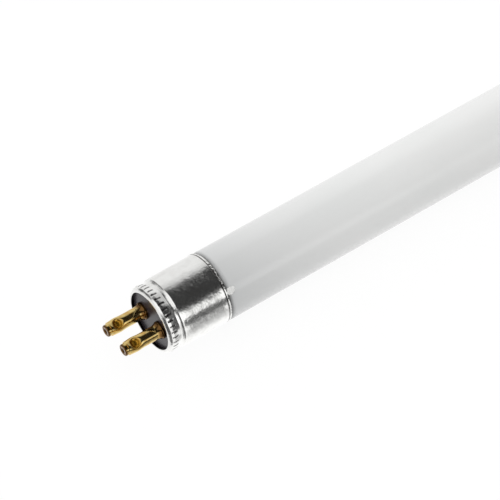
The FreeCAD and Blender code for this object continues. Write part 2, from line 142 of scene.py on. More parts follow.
class CapSettings(PropertyGroup):
    sheet: length("Sheet", "Thickness of the rolled sheet", 0.2)
    cement_gap: length("Cement gap", "Between the skirt and the glass neck", 0.3)
    crown_step: length("Crown step", "How far the crown lies below the skirt", 0.2)
    crown_wall: length("Crown wall", "From the crown to the disc's seat", 0.4)
    mouth_round: length("Mouth round", "Edge of the mouth", 0.1)
    lip_width: length("Lip width", "From the crown to the mouth", 0.8)
    lip_face: length("Lip face", "Flat face of the rolled lip", 0.25)
    lip_depth: length("Lip depth", "From the rim to the end of the lip's round front", 0.5)
    lip_drop: length("Lip drop", "How far that end lies below the crest", 0.08)
    lip_bow: length("Lip bow", "How far the lip's front bows out", 0.06)
    crest: length("Crest", "From the rim to the highest place of the crown", 0.95)
    crest_bow: length("Crest bow", "How far the crown bows out before its crest", 0.01)
    knurl_start: length("Knurl start", "From the rim to the start of the notches", 0.5)
    knurl_end: length("Knurl end", "From the rim to the end of the knurl", 1.68)
    knurl_depth: length("Knurl depth", "Depth of a knurl notch", 0.065)
    knurl_width: length("Knurl width", "Width of a knurl notch", 0.54)
    knurl_fade: length("Knurl fade", "Where a notch runs out at its ends", 0.2)
    knurl_count: IntProperty(name="Knurl count", description="Notches around", default=36, min=6)
    valley: length("Valley", "From the rim to the lowest place of the neck", 2.2)
    valley_drop: length("Valley drop", "How far the valley lies below the crest", 0.2)
    slope_bow: length("Slope bow", "How far the slope to the valley bows out", 0.02)
    ramp_length: length("Ramp", "From the valley to the skirt's front", 0.4)
    ramp_rise: length("Ramp rise", "How far the ramp rises", 0.14)
    ramp_bow: length("Ramp bow", "How far the ramp bows in", 0.015)
    front_length: length("Skirt front", "Round front of the skirt, along the cap", 0.3)
    front_bow: length("Skirt front bow", "How far that front bows out", 0.03)
    skirt_ease_length: length("Skirt ease", "Where the skirt eases into its ends", 1.4)
    skirt_ease_height: length("Skirt ease height", "How far it eases in or out", 0.06)
    hem_width: length("Hem width", "Rear hem", 0.42)
    hem_height: length("Hem height", "How far the hem bows out", 0.015)
    hem_edge: length("Hem edge", "Rounding at the cap's rear edge", 0.08)
    hem_groove: length("Hem groove", "Width of the groove before the hem", 0.14)
    nick_depth: length("Nick depth", "Nicks along the hem", 0.1)
    retainer_gap: length("Retainer gap", "Between the disc and the bead behind it", 0.02)
    retainer_width: length("Retainer width", "Inner bead that holds the disc", 0.4)
    retainer_height: length("Retainer height", "Height of that bead", 0.2)
    bend_softness: length("Bend softness", "Radius left in each bend", 0.05)
    steps_per_notch: IntProperty(
        name="Steps per notch", description="Flats from notch to notch", default=14, min=4)
    metal: colour("Metal", "Bright rolled sheet", "#F3F3F1")
    worn: colour("Rubbed metal", "Where the sheet is rubbed dull", "#E9E8E6")
    # The mouth's black is painted shade in the recess in front of the disc, with the dark disc's
    # reflection in it.
    mouth: colour("Mouth", "Blackened wall of the mouth", "#2A2526")
    # The notches of the knurl are drawn in this darker grey.
    notch_dark: colour("Grime", "Grey film left in the notches", "#6E6C6B")
    # The dark lines beside the hem are painted shade.
    hem_shade: colour("Hem grime", "Dark lines beside the hem", "#363331")


class DiscSettings(PropertyGroup):
    edge_bevel: length("Edge bevel", "Bevel at the moulded edge", 0.08)
    hole_clearance: length("Hole clearance", "Around each pin", 0.01)
    resin: colour("Resin", "Dark moulded resin", "#2B262C")
    resin_pale: colour("Pale resin", "Where filler shows in the resin", "#39353B")


class PinSettings(PropertyGroup):
    diameter: length("Barrel", "Diameter of the barrel", 2.3)
    wall: length("Wall", "Thickness of the brass", 0.4)
    collar_thickness: length("Collar", "Thickness of the collar", 0.35)
    collar_edge: length("Collar edge", "Rounding at the collar's front", 0.12)
    flare: length("Flare", "Length of the flare above the collar", 0.9)
    flare_hollow: length("Flare hollow", "How far the flare bows in", 0.03)
    crimp_length: length("Crimp length", "Swollen length around the dimple", 2.9)
    crimp_setback: length("Crimp setback", "From the crimp to the nose", 0.15)
    crimp_swell: length("Crimp swell", "How far the crimp stands out", 0.09)
    crimp_flat: length("Crimp flat", "How far the crimp is pressed flat", 0.12)
    nose_step: length("Nose step", "How far the nose lies below the barrel", 0.15)
    nose_length: length("Nose length", "Length of the nose", 0.65)
    nose_round: length("Nose round", "Radius at the tip", 0.18)
    nose_hole: length("Nose hole", "Diameter of the hole in the tip", 0.8)
    dimple_setback: length("Dimple setback", "From the crimp's end to the dimple", 1.27)
    dimple_diameter: length("Dimple", "Diameter of the dimple", 1.75)
    dimple_floor: length("Dimple floor", "Diameter of its flat floor", 0.8)
    dimple_depth: length("Dimple depth", "Depth of the dimple", 0.32)
    dimple_spread: length("Dimple spread", "Width of the hollow drawn in around it", 2.7)
    spread_depth: length("Spread depth", "Depth of that hollow", 0.16)
    dimple_tilt: angle("Dimple tilt", "From straight up towards the viewer", 22.0)
    steps: IntProperty(name="Steps", description="Flats around a pin", default=96, min=12)
    brass: colour("Brass", "Polished yellow brass", "#DEC583")
    brass_dark: colour("Tarnish", "Slightly tarnished brass", "#C8984A")
    # Painted reflection: the dimple is drawn this deeper gold, for the light that bounces inside
    # its hollow.
    brass_dimple_reflection: colour("Worked brass", "Deep gold where the brass was pressed", "#B5862C")
    brass_foot: colour("Brass foot", "Brown tarnish at the collar and the tip", "#6B4E2C")


class CementSettings(PropertyGroup):
    drop_length: length("Drop length", "Along the tube", 1.75)
    drop_width: length("Drop width", "Around the tube", 1.4)
    drop_height: length("Drop height", "Above the glass", 0.34)
    drop_sink: length("Drop sink", "How far it reaches into the glass", 0.04)
    drop_facet: length("Drop facet", "Size of the flats that it set with", 0.45)
    drop_setback: length("Drop setback", "How far it reaches under the hem", 0.3)
    drop_angle: angle("Drop angle", "From +Y towards +Z", 144.0)
    # The drop's pale colour is painted light, standing in for the light that the clear resin
    # gathers and bends.
    clear: colour("Clear cement", "Clear glossy drop", "#F6F6F4")
    paste: colour("Set cement", "Matt filling in the cap", "#B9B2A2")
    pores: colour("Pores", "Shade in the pores of that filling", "#8E8777")
    wire: colour("Wire", "Tinned wire", "#B8B2A8")


class StageSettings(PropertyGroup):
    azimuth: angle("Azimuth", "Camera, round from -Y towards +X", -35.558)
    elevation: angle("Elevation", "Camera above the horizon", 49.071)
    roll: angle("Roll", "Camera about its own axis", -0.749)
    distance: length("Distance", "Camera to the point that it looks at", 437.58)
    aim_x: length("Aim X", "Point that the camera looks at", -82.154)
    aim_y: length("Aim Y", "Point that the camera looks at", 2.55)
    lens: FloatProperty(name="Lens", description="Focal length in mm", default=198.34, min=1)
    sensor: FloatProperty(name="Sensor", description="Sensor width in mm", default=36, min=1)
    floor_size: length("Floor", "Side of the pale floor", 4000.0)
    floor: colour("Floor colour", "Pale floor", "#F0F0F0")


def deselect():
    """Leaves edit mode, with nothing selected."""
    if bpy.context.mode != "OBJECT":
        bpy.ops.object.mode_set(mode="OBJECT")
    bpy.ops.object.select_all(action="DESELECT")


def pick(piece):
    """Leaves edit mode, with only this piece selected."""
    deselect()
    piece.select_set(True)
    bpy.context.view_layer.objects.active = piece


def edit(piece):
    """Opens only this piece in edit mode, with all of its mesh selected."""
    pick(piece)
    bpy.ops.object.mode_set(mode="EDIT")
    bpy.ops.mesh.select_all(action="SELECT")


def add_primitive(name, operator, **settings):
    """A new primitive that keeps its size and place in its mesh."""
    deselect()
    operator(**settings)
    piece = bpy.context.object
    piece.name = piece.data.name = name
    bpy.ops.object.transform_apply(location=True, rotation=True, scale=True)
    return piece


def apply_modifier(piece, kind, **settings):
    pick(piece)
    bpy.ops.object.modifier_add(type=kind)
    modifier = piece.modifiers[-1]
    for name, value in settings.items():
        setattr(modifier, name, value)
    bpy.ops.object.modifier_apply(modifier=modifier.name)


def bow(start, end, rise, count=8):
    """Points after start, up to end, on an arc that stands rise to the left of the chord."""
    start, end = Vector(start), Vector(end)
    chord = end - start
    half = chord.length / 2
    radius = (half ** 2 + rise ** 2) / (2 * abs(rise))
    left = Vector((-chord.y, chord.x)).normalized() * math.copysign(1, rise)
    centre = (start + end) / 2 + left * (abs(rise) - radius)
    first = start - centre
    sweep = -math.copysign(2 * math.asin(min(1, half / radius)), rise)
    if abs(rise) > half:
        sweep = -math.copysign(math.tau, rise) - sweep
    return [centre + Matrix.Rotation(sweep * i / count, 2) @ first for i in range(1, count + 1)]


def trace(*stops):
    """An outline through its stops: (x, y), or (x, y, rise, count) where a bow ends."""
    points = []
    for stop in stops:
        if len(stop) == 2:
            points.append(Vector(stop))
        else:
            points += bow(points[-1], stop[:2], *stop[2:])
    return points


def soften(points, radius):
    """The same closed outline with its sharp corners rounded off."""
    sharp, longest_cut = math.radians(14), 0.4
    result = []
    for i, corner in enumerate(points):
        back, ahead = points[i - 1] - corner, points[(i + 1) % len(points)] - corner
        if math.pi - back.angle(ahead) < sharp:
            result.append(corner)
            continue
        cut = min(radius, longest_cut * back.length, longest_cut * ahead.length)
        a, b = corner + back.normalized() * cut, corner + ahead.normalized() * cut
        result += [a, (a + b + 2 * corner) / 4, b]
    return result


def turn_about_axis(name, points, steps, closed, centre=(0, 0, 0)):
    """A piece turned about a line along X from its outline of (x, radius) points."""
    middle = Vector(centre)
    places = [middle + Vector((p.x, 0, p.y)) for p in points]
    # A plane shrunk to one point, from which the outline is drawn
    piece = add_primitive(name, bpy.ops.mesh.primitive_plane_add, size=MM)
    edit(piece)
    bpy.ops.mesh.merge(type="CENTER")
    bpy.ops.transform.translate(value=places[0])
    loop = places + [places[0]] if closed else places
    for here, there in zip(loop, loop[1:]):
        bpy.ops.mesh.extrude_region_move(TRANSFORM_OT_translate={"value": there - here})
    bpy.ops.mesh.select_all(action="SELECT")
    bpy.ops.mesh.spin(steps=steps, angle=math.tau, center=middle, axis=(1, 0, 0))
    bpy.ops.mesh.select_all(action="SELECT")
    bpy.ops.mesh.remove_doubles(threshold=MERGE_REACH)
    bpy.ops.mesh.normals_make_consistent(inside=False)
    deselect()
    return piece


def press_surface(piece, amount, share_of, direction="NORMAL"):
    """Moves the surface by amount times the share that share_of gives at each place."""
    pick(piece)
    group = piece.vertex_groups.new(name="pressed")
    for vertex in piece.data.vertices:
        share = share_of(vertex.co)
        if share > 0:
            group.add([vertex.index], min(share, 1), "REPLACE")
    apply_modifier(
        piece, "DISPLACE", direction=direction, mid_level=0, strength=amount,
        vertex_group="pressed")
    piece.vertex_groups.remove(piece.vertex_groups["pressed"])


def smooth(piece, degrees=38):
    pick(piece)
    bpy.ops.object.shade_smooth_by_angle(angle=math.radians(degrees))


def turn_about_x(radians, centre):
    """Turns what is selected in edit mode about a line along X, from +Z towards -Y."""
    bpy.ops.transform.rotate(
        value=-radians, orient_axis="X", orient_type="GLOBAL", center_override=centre)


def copy_piece(piece, name, move=(0, 0, 0), half_turn=False):
    """A copy with its own mesh, moved, or turned half a turn about the lamp's middle."""
    pick(piece)
    bpy.ops.object.duplicate(linked=False)
    copy = bpy.context.object
    copy.name = copy.data.name = name
    edit(copy)
    if half_turn:
        bpy.ops.transform.rotate(
            value=math.pi, orient_axis="Z", orient_type="GLOBAL", center_override=(0, 0, 0))
    bpy.ops.transform.translate(value=move)
    deselect()
    return copy


def finish_piece(piece, node, material):
    """Rides the piece on the lamp, in place of its CAD node."""
    piece.data.materials.clear()
    piece.data.materials.append(material)
    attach(piece, BODY)
    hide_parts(node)


def add_node(tree, kind, inputs=None, **settings):
    """Adds a node with its settings. An input is a value, an output to link from, or a
    node to link from by the first output that it has in use. In a Mix node, inputs 2 and 3
    are its numbers, and 6 and 7 its colours."""
    node = tree.nodes.new("ShaderNode" + kind)
    for name, value in settings.items():
        setattr(node, name, value)
    for key, value in (inputs or {}).items():
        if isinstance(value, bpy.types.Node):
            value = next(output for output in value.outputs if output.enabled)
        if isinstance(value, bpy.types.NodeSocket):
            tree.links.new(value, node.inputs[key])
        else:
            node.inputs[key].default_value = value
    return node


def per_mm(size):
    """The pattern scale that makes one feature of a texture this many mm long."""
    return 1 / (size * MM)


def empty_tree(owner):
    """Gives a material or world an empty node tree, and returns what adds nodes to it."""
    owner.use_nodes = True
    owner.node_tree.nodes.clear()
    return partial(add_node, owner.node_tree)


def new_material(name):
    """An empty material, what adds nodes to it, and its Object coordinates."""
    material = bpy.data.materials.new(name)
    add = empty_tree(material)
    return material, add, add("TexCoord").outputs["Object"]


def coated_glass_material(look):
    """Drawn soda-lime glass over a white powder coat.

    The glass gives a clear sharp gloss. The powder under it is matt, with a faint cloudiness
    from the way that the slurry drained down. Towards the caps it is drawn greyer, which is
    painted shade, and darker still beside each hem: there the coat thins on the glass shoulder,
    and the rest is painted shade.
    """
    material, add, place = new_material("drawn_glass_over_powder_coat")
    # The clouds are about 9 mm wide and three times as long
    along = add("Mapping", {"Vector": place, "Scale": (0.35, 1, 1)})
    cloud = add("TexNoise", {"Vector": along, "Scale": per_mm(9), "Detail": 3})
    uneven = add("MapRange", {"Value": cloud, "From Min": 0.35, "From Max": 0.7})
    middle = add("Mix", {0: uneven, 6: look.coat, 7: look.coat_cloud}, data_type="RGBA")
    axes = add("SeparateXYZ", {0: place})
    from_middle = add("Math", {0: axes.outputs[0]}, operation="ABSOLUTE")
    # Painted shade: the coat is drawn greyer towards the caps.
    near_cap = add("MapRange", {
        "Value": from_middle, "From Min": -HEM_X - look.end_fade, "From Max": -HEM_X})
    fade = add("Math", {0: near_cap, 1: 2.0}, operation="POWER")
    powder = add("Mix", {0: fade, 6: middle, 7: look.coat_end_shade}, data_type="RGBA")
    # Painted shade beside the hem, where the glass turns into its neck under the cap; the coat
    # also thins on that shoulder.
    at_hem = add("MapRange", {
        "Value": from_middle, "From Min": -HEM_X - look.hem_shade_length, "From Max": -HEM_X},
        interpolation_type="SMOOTHSTEP")
    shaded_at_hem = add("Mix", {0: at_hem, 6: powder, 7: look.coat_hem_shade}, data_type="RGBA")
    # Grains of powder are about 0.01 mm wide. They are drawn 0.25 mm wide, so that they show.
    grain = add("TexNoise", {"Vector": place, "Scale": per_mm(0.25), "Detail": 2})
    bump = add("Bump", {"Height": grain, "Strength": 0.05, "Distance": 0.02 * MM})
    shader = add("BsdfPrincipled", {
        "Base Color": shaded_at_hem, "Roughness": 0.8, "IOR": 1.5, "Specular IOR Level": 0.0,
        "Normal": bump, "Coat Weight": 1.0, "Coat Roughness": 0.03, "Coat IOR": 1.5,
        "Sheen Weight": 0.6, "Sheen Roughness": 0.4})
    add("OutputMaterial", {"Surface": shader})
    return material


def cap_metal_material(look, mouth):
    """Bright rolled aluminium sheet, spun and knurled.

    The rolling left a fine grain and slight waves in the sheet, which dull the mirror a
    little and make the edges of its reflections uneven, and some patches are rubbed. The
    wall of the mouth, in front of the disc, is painted black: painted shade in that recess,
    with the dark disc's reflection in it. The notches of the knurl are drawn a darker grey,
    and dark specks of painted shade line both sides of the hem.
    """
    material, add, place = new_material("bright_rolled_aluminium")
    # The grain is some hundredths of a mm wide. It is drawn 0.3 mm wide, so that it shows.
    grain = add("TexNoise", {"Vector": place, "Scale": per_mm(0.3), "Detail": 3})
    rub = add("TexNoise", {"Vector": place, "Scale": per_mm(1.6), "Detail": 4})
    dull = add("MapRange", {"Value": rub, "From Min": 0.45, "From Max": 0.75})
    metal = add("Mix", {0: dull, 6: look.metal, 7: look.worn}, data_type="RGBA")
    gloss = add("MapRange", {
        "Value": grain, "From Min": 0.3, "From Max": 0.7, "To Min": 0.15, "To Max": 0.24})
    bump = add("Bump", {"Height": grain, "Strength": 1.0, "Distance": 0.012 * MM})
    wave = add("TexNoise", {"Vector": place, "Scale": per_mm(0.8), "Detail": 1})
    waved = add("Bump", {"Height": wave, "Distance": 0.03 * MM, "Normal": bump})
    axes = add("SeparateXYZ", {0: place})
    outwards = add("Math", {0: axes.outputs[0]}, operation="ABSOLUTE")

    # The darker grey in the notches: a ripple around the cap, within the length of the knurl
    around = add("Math", {0: axes.outputs[2], 1: axes.outputs[1]}, operation="ARCTAN2")
    turns = add("Math", {0: around, 1: look.knurl_count}, operation="MULTIPLY")
    ripple = add("Math", {0: turns}, operation="COSINE")
    notch = add("MapRange", {"Value": ripple, "From Min": 0.2})
    knurl_x = -RIM_X - (look.knurl_start + look.knurl_end) / 2
    from_knurl = add("Math", {0: outwards, 1: knurl_x}, operation="SUBTRACT")
    aside = add("Math", {0: from_knurl}, operation="ABSOLUTE")
    reach = (look.knurl_end - look.knurl_start) / 2
    on_knurl = add("MapRange", {
        "Value": aside, "From Min": reach, "From Max": reach - look.knurl_fade})
    notch_share = add("Math", {0: notch, 1: on_knurl}, operation="MULTIPLY")
    notch_darkened = add("Mix", {0: notch_share, 6: metal, 7: look.notch_dark}, data_type="RGBA")

    # The dark lines of painted shade: in the groove before the hem and on the rear edge, broken
    # into specks
    groove_x = -HEM_X + look.hem_width + look.hem_groove / 2
    from_groove = add("Math", {0: outwards, 1: groove_x}, operation="SUBTRACT")
    off_groove = add("Math", {0: from_groove}, operation="ABSOLUTE")
    in_groove = add("MapRange", {
        "Value": off_groove, "From Min": 0.8 * look.hem_groove,
        "From Max": 0.45 * look.hem_groove})
    at_edge = add("MapRange", {
        "Value": outwards, "From Min": -HEM_X + 1.6 * look.hem_edge,
        "From Max": -HEM_X + 0.9 * look.hem_edge})
    beside_hem = add("Math", {0: in_groove, 1: at_edge}, operation="MAXIMUM")
    specks = add("MapRange", {"Value": grain, "From Min": 0.35, "From Max": 0.55, "To Min": 0.6})
    hem_shade_share = add("Math", {0: beside_hem, 1: specks}, operation="MULTIPLY")
    hem_shaded = add("Mix", {0: hem_shade_share, 6: notch_darkened, 7: look.hem_shade}, data_type="RGBA")

    # The black of the mouth, painted shade and reflection, ends just outside its wall
    across = add("VectorMath", {0: place, 1: (0, 1, 1)}, operation="MULTIPLY")
    radius = add("VectorMath", {0: across}, operation="LENGTH")
    mouth_shade = add("MapRange", {
        "Value": radius, "From Min": mouth + 0.03 * MM, "From Max": mouth + 0.01 * MM})
    mouth_shaded = add("Mix", {0: mouth_shade, 6: hem_shaded, 7: look.mouth}, data_type="RGBA")
    shader = add("BsdfPrincipled", {
        "Base Color": mouth_shaded, "Metallic": 1.0, "Roughness": gloss, "Normal": waved})
    add("OutputMaterial", {"Surface": shader})
    return material


def disc_material(look):
    """Moulded phenolic resin with mineral filler.

    A dark purplish grey with a satin skin from the mould, and pale specks of filler.
    """
    material, add, place = new_material("moulded_phenolic")
    # Specks of filler are under 0.1 mm wide. They are drawn 0.22 mm wide, so that they show.
    filler = add("TexNoise", {"Vector": place, "Scale": per_mm(0.22), "Detail": 3})
    share = add("MapRange", {"Value": filler, "From Min": 0.5, "From Max": 0.72})
    resin = add("Mix", {0: share, 6: look.resin, 7: look.resin_pale}, data_type="RGBA")
    bump = add("Bump", {"Height": filler, "Strength": 0.2, "Distance": 0.01 * MM})
    shader = add("BsdfPrincipled", {
        "Base Color": resin, "Roughness": 0.34, "IOR": 1.48, "Normal": bump})
    add("OutputMaterial", {"Surface": shader})
    return material


def brass_material(look):
    """Yellow brass tube, drawn and tumbled bright.

    Warm deep reflections with drawing lines along the pin, and a trace of tarnish. The
    pressed dimple is duller, and drawn a deeper gold: painted reflection of the light that
    bounces inside its hollow. The collar and the tip are tarnished brown.
    """
    material, add, place = new_material("drawn_yellow_brass")
    axes = add("SeparateXYZ", {0: place})
    outwards = add("Math", {0: axes.outputs[0]}, operation="ABSOLUTE")
    # Both ends and both pins of an end are folded onto one dimple
    end = add("Math", {0: axes.outputs[0]}, operation="SIGN")
    top = look.diameter / 2
    sideways = add("Math", {
        0: axes.outputs[1], 1: end, 2: -top * math.sin(look.dimple_tilt)},
        operation="MULTIPLY_ADD")
    beside = add("Math", {0: sideways}, operation="ABSOLUTE")
    folded = add("CombineXYZ", {0: outwards, 1: beside, 2: axes.outputs[2]})
    dimple_x = -PIN_TIP_X - look.nose_length - look.crimp_setback - look.dimple_setback
    away = add("VectorMath", {0: folded, 1: (dimple_x, PIN_Y, 0.6 * top)}, operation="DISTANCE")
    # The deep gold, painted reflection, fades out around the dimple, and the brown beside the
    # collar and the tip
    near_dimple = add("MapRange", {"Value": away, "From Min": 1.15 * MM, "From Max": 0.7 * MM})
    foot = add("MapRange", {
        "Value": outwards, "From Min": -DISC_FACE_X + 1.4 * MM,
        "From Max": -DISC_FACE_X + 0.8 * MM})
    tip = add("MapRange", {
        "Value": outwards, "From Min": -PIN_TIP_X - 0.5 * MM,
        "From Max": -PIN_TIP_X - 0.15 * MM})
    ends = add("Math", {0: foot, 1: tip}, operation="MAXIMUM")
    # Drawing lines are about 0.02 mm wide. They are drawn 0.12 mm wide, so that they show,
    # and eight times as long.
    drawn = add("Mapping", {"Vector": place, "Scale": (0.12, 1, 1)})
    lines = add("TexNoise", {"Vector": drawn, "Scale": per_mm(0.12), "Detail": 3})
    stain = add("TexNoise", {"Vector": place, "Scale": per_mm(0.7), "Detail": 3})
    share = add("MapRange", {"Value": stain, "From Min": 0.45, "From Max": 0.7})
    brass = add("Mix", {0: share, 6: look.brass, 7: look.brass_dark}, data_type="RGBA")
    gloss = add("MapRange", {
        "Value": lines, "From Min": 0.3, "From Max": 0.7, "To Min": 0.08, "To Max": 0.16})
    satin = add("Mix", {0: near_dimple, 2: gloss, 3: 0.36}, data_type="FLOAT")
    bump = add("Bump", {"Height": lines, "Strength": 0.25, "Distance": 0.005 * MM})
    # Painted reflection: the dimple is drawn a deeper gold.
    deep = add("Mix", {0: near_dimple, 6: brass, 7: look.brass_dimple_reflection}, data_type="RGBA")
    browned = add("Mix", {0: ends, 6: deep, 7: look.brass_foot}, data_type="RGBA")
    shader = add("BsdfPrincipled", {
        "Base Color": browned, "Metallic": 1.0, "Roughness": satin, "Normal": bump})
    add("OutputMaterial", {"Surface": shader})
    return material


def wire_material(look):
    """Tinned copper-clad wire: a soft white metal shine, uneven from the tinning."""
    material, add, place = new_material("tinned_lead_wire")
    # The tin's grain is finer than 0.05 mm. It is drawn 0.1 mm wide, to show in a close view.
    grain = add("TexNoise", {"Vector": place, "Scale": per_mm(0.1), "Detail": 2})
    gloss = add("MapRange", {"Value": grain, "To Min": 0.2, "To Max": 0.45})
    shader = add("BsdfPrincipled", {
        "Base Color": look.wire, "Metallic": 1.0, "Roughness": gloss})
    add("OutputMaterial", {"Surface": shader})
    return material


def paste_material(look):
    """Baked lamp-capping cement: a matt sandy paste with fine pores."""
    material, add, place = new_material("baked_capping_cement")
    # Pores are under 0.1 mm wide. They are drawn 0.15 mm wide, to show in a close view.
    pores = add("TexNoise", {"Vector": place, "Scale": per_mm(0.15), "Detail": 4})
    share = add("MapRange", {"Value": pores, "From Min": 0.4, "From Max": 0.65})
    paste = add("Mix", {0: share, 6: look.pores, 7: look.paste}, data_type="RGBA")
    bump = add("Bump", {"Height": pores, "Strength": 0.5, "Distance": 0.03 * MM})
    shader = add("BsdfPrincipled", {"Base Color": paste, "Roughness": 0.85, "Normal": bump})
    add("OutputMaterial", {"Surface": shader})
    return material


def drop_material(look):
    """A set drop of clear resin: glassy, with small waves in its skin. Its pale, nearly
    opaque colour is painted light, standing in for the light that the clear drop gathers
    and bends.
    """
    material, add, place = new_material("set_clear_resin")
    waves = add("TexNoise", {"Vector": place, "Scale": per_mm(0.4), "Detail": 2})
    bump = add("Bump", {"Height": waves, "Strength": 1.0, "Distance": 0.1 * MM})
    shader = add("BsdfPrincipled", {
        "Base Color": look.clear, "Roughness": 0.05, "IOR": 1.55, "Alpha": 0.85,
        "Normal": bump})
    add("OutputMaterial", {"Surface": shader})
    return material


def neck_radius(scene):
    return scene.lamp_glass.diameter / 2 - scene.lamp_glass.neck_step


class TUBELAMP_OT_glass(Operator):
    """Turn the sealed glass tube, with its necks and re-entrant stems"""

    bl_idname = "tubelamp.glass"
    bl_label = "Glass tube"

    def execute(self, context):
        glass = context.scene.lamp_glass
        tube, neck = glass.diameter / 2, neck_radius(context.scene)
        inner_neck = neck - glass.wall
        flare_back = inner_neck - glass.flare_gap
        flare = flare_back - glass.flare_wall
        exhaust, bore = glass.exhaust_diameter / 2, glass.exhaust_bore / 2
        shoulder = HEM_X + glass.shoulder_reach
        drop = math.sqrt(glass.shoulder_round ** 2 - (glass.shoulder_round - glass.neck_step) ** 2)
        rise = glass.shoulder_round - math.sqrt(
            glass.shoulder_round ** 2 - (drop ** 2 + glass.neck_step ** 2) / 4)
        seal = RIM_X + glass.seal_setback
        lip = glass.seal_lip / 2
        seal_top = seal + lip
        funnel = seal_top + glass.flare_taper
        press = seal + glass.flare_length
        press_back = press + glass.flare_wall
        tip = RIM_X + glass.exhaust_setback
        inner_tip = tip + exhaust - bore

        outside = trace(
            (tip, 0), (tip + exhaust, exhaust, exhaust * QUARTER_RISE), (press, exhaust),
            (press, flare), (funnel, flare), (seal_top, neck - glass.seal_lip),
            (seal_top, neck, lip, 16), (shoulder - drop, neck), (shoulder, tube, rise, 12))
        inside = trace(
            (inner_tip, 0), (inner_tip + bore, bore, bore * QUARTER_RISE), (press_back, bore),
            (press_back, flare_back), (funnel + glass.flare_wall, flare_back),
            (seal_top + glass.flare_wall, inner_neck), (shoulder - drop, inner_neck),
            (shoulder, tube - glass.wall))
        piece, hollow = (
            turn_about_axis(name, half + self.mirrored(half), glass.steps, closed=False)
            for name, half in (("glass", outside), ("glass_hollow", inside)))
        edit(hollow)
        bpy.ops.mesh.flip_normals()

        width = 2 * (flare_back - glass.press_step)
        presses = [self.add_press(side, press_back, width, glass) for side in (-1, 1)]
        deselect()
        for part in [hollow, *presses, piece]:
            part.select_set(True)
        context.view_layer.objects.active = piece
        bpy.ops.object.join()
        smooth(piece, 30)
        finish_piece(piece, "glass_tube", coated_glass_material(glass))
        return {"FINISHED"}

    def mirrored(self, half):
        """The right half of an outline, from its left half."""
        return [Vector((-p.x, p.y)) for p in reversed(half)]

    def add_press(self, side, press_back, width, glass):
        """The flattened end of a stem, in which the wires are sealed."""
        middle = side * (abs(press_back) - glass.press_length / 2)
        press = add_primitive(
            "glass_press", bpy.ops.mesh.primitive_cube_add, size=1, location=(middle, 0, 0),
            scale=(glass.press_length, width, glass.press_thickness))
        edit(press)
        bpy.ops.mesh.bevel(offset=glass.press_bevel, segments=3, affect="EDGES")
        deselect()
        return press


